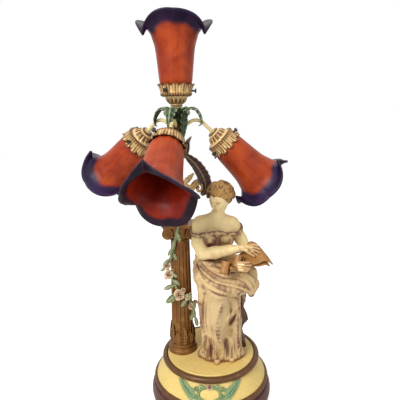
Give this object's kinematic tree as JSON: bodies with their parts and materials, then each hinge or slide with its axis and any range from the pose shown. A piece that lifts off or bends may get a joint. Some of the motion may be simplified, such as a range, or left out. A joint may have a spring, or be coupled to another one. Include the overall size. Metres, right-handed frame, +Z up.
{
  "type": "figural table lamp",
  "caption": "Table lamp with a seated classical lady beside an Ionic column on a round base, flower-shaped glass shades on curved arms and one above.",
  "frame": {"origin": "middle of the round underside of the felt pad, on the surface that the lamp stands on", "axes": "+Z up; -Y to the front, where the cartouche and the lady's knees are; +X to the viewer's right, the lady's side of the column"},
  "size_m": [0.4615, 0.3925, 0.832],
  "materials": {
    "felt": "felt",
    "steel": "plain",
    "brown_base": "satin lacquer",
    "bronze": "antiqued bronze paint",
    "yellow_paint": "satin paint",
    "green_paint": "antiqued paint",
    "rose_paint": "antiqued paint",
    "cream_paint": "antiqued paint",
    "hair_paint": "antiqued paint",
    "scroll_paint": "antiqued paint",
    "rock_paint": "antiqued paint",
    "gold_paint": "antiqued gold",
    "pale_tube": "satin paint",
    "brass": "plain",
    "dark_screw": "blackened",
    "socket": "matte",
    "shade": "frosted, indigo rim",
    "grommet": "matte"
  },
  "bodies": {
    "lamp": {"felt_pad": "felt", "base_plate": "steel", "base_screws": "steel", "base_plinth": "brown_base", "cord_grommet": "grommet", "base_lower_bead": "bronze", "base_dome": "yellow_paint", "base_relief": "green_paint", "base_upper_bead": "bronze", "pipe_washer": "steel", "pipe_nut": "steel", "column_base": "bronze", "column_shaft": "bronze", "column_capital": "bronze", "lamp_pipe": "brass", "stem_casting": "bronze", "leaf_crown_lower": "green_paint", "hub": "bronze", "leaf_crown_upper": "green_paint", "neck_spacer": "brass", "acanthus_leaves": "rock_paint", "stem_scroll": "gold_paint", "garland_vine": "green_paint", "garland_roses": "rose_paint", "rock_seat": "rock_paint", "figure_skirt": "cream_paint", "figure_lap_drape": "cream_paint", "figure_torso": "cream_paint", "figure_head": "cream_paint", "figure_hair": "hair_paint", "figure_arm_right": "cream_paint", "figure_arm_left": "cream_paint", "music_scroll": "scroll_paint", "arm_right": "pale_tube", "arm_left": "pale_tube", "arm_front": "pale_tube", "holder_top": "gold_paint", "socket_top": "socket", "shade_top": "shade", "holder_front": "gold_paint", "socket_front": "socket", "shade_front": "shade", "holder_left": "gold_paint", "socket_left": "socket", "shade_left": "shade", "holder_right": "gold_paint", "socket_right": "socket", "shade_right": "shade"},
    "thumbscrew_top_1": {"thumbscrew_top_1": "dark_screw"},
    "thumbscrew_top_2": {"thumbscrew_top_2": "dark_screw"},
    "thumbscrew_top_3": {"thumbscrew_top_3": "dark_screw"},
    "thumbscrew_front_1": {"thumbscrew_front_1": "dark_screw"},
    "thumbscrew_front_2": {"thumbscrew_front_2": "dark_screw"},
    "thumbscrew_front_3": {"thumbscrew_front_3": "dark_screw"},
    "thumbscrew_left_1": {"thumbscrew_left_1": "dark_screw"},
    "thumbscrew_left_2": {"thumbscrew_left_2": "dark_screw"},
    "thumbscrew_left_3": {"thumbscrew_left_3": "dark_screw"},
    "thumbscrew_right_1": {"thumbscrew_right_1": "dark_screw"},
    "thumbscrew_right_2": {"thumbscrew_right_2": "dark_screw"},
    "thumbscrew_right_3": {"thumbscrew_right_3": "dark_screw"}
  },
  "joints": [
    {"name": "thumbscrew_top_1_travel", "type": "slide", "parent": "lamp", "child": "thumbscrew_top_1", "axis": [1, 0, 0], "range_m": [0, 0.006]},
    {"name": "thumbscrew_top_2_travel", "type": "slide", "parent": "lamp", "child": "thumbscrew_top_2", "axis": [-0.5, 0.866, 0], "range_m": [0, 0.006]},
    {"name": "thumbscrew_top_3_travel", "type": "slide", "parent": "lamp", "child": "thumbscrew_top_3", "axis": [-0.5, -0.866, 0], "range_m": [0, 0.006]},
    {"name": "thumbscrew_front_1_travel", "type": "slide", "parent": "lamp", "child": "thumbscrew_front_1", "axis": [0.9877, -0.1564, 0], "range_m": [0, 0.006]},
    {"name": "thumbscrew_front_2_travel", "type": "slide", "parent": "lamp", "child": "thumbscrew_front_2", "axis": [-0.5845, -0.4941, 0.6436], "range_m": [0, 0.006]},
    {"name": "thumbscrew_front_3_travel", "type": "slide", "parent": "lamp", "child": "thumbscrew_front_3", "axis": [-0.4032, 0.6506, -0.6436], "range_m": [0, 0.006]},
    {"name": "thumbscrew_left_1_travel", "type": "slide", "parent": "lamp", "child": "thumbscrew_left_1", "axis": [-0.5, -0.866, 0], "range_m": [0, 0.006]},
    {"name": "thumbscrew_left_2_travel", "type": "slide", "parent": "lamp", "child": "thumbscrew_left_2", "axis": [-0.2518, 0.7228, 0.6436], "range_m": [0, 0.006]},
    {"name": "thumbscrew_left_3_travel", "type": "slide", "parent": "lamp", "child": "thumbscrew_left_3", "axis": [0.7518, 0.1433, -0.6436], "range_m": [0, 0.006]},
    {"name": "thumbscrew_right_1_travel", "type": "slide", "parent": "lamp", "child": "thumbscrew_right_1", "axis": [-0.2079, 0.9781, 0], "range_m": [0, 0.006]},
    {"name": "thumbscrew_right_2_travel", "type": "slide", "parent": "lamp", "child": "thumbscrew_right_2", "axis": [0.6924, -0.364, 0.623], "range_m": [0, 0.006]},
    {"name": "thumbscrew_right_3_travel", "type": "slide", "parent": "lamp", "child": "thumbscrew_right_3", "axis": [-0.4845, -0.6142, -0.623], "range_m": [0, 0.006]}
  ]
}
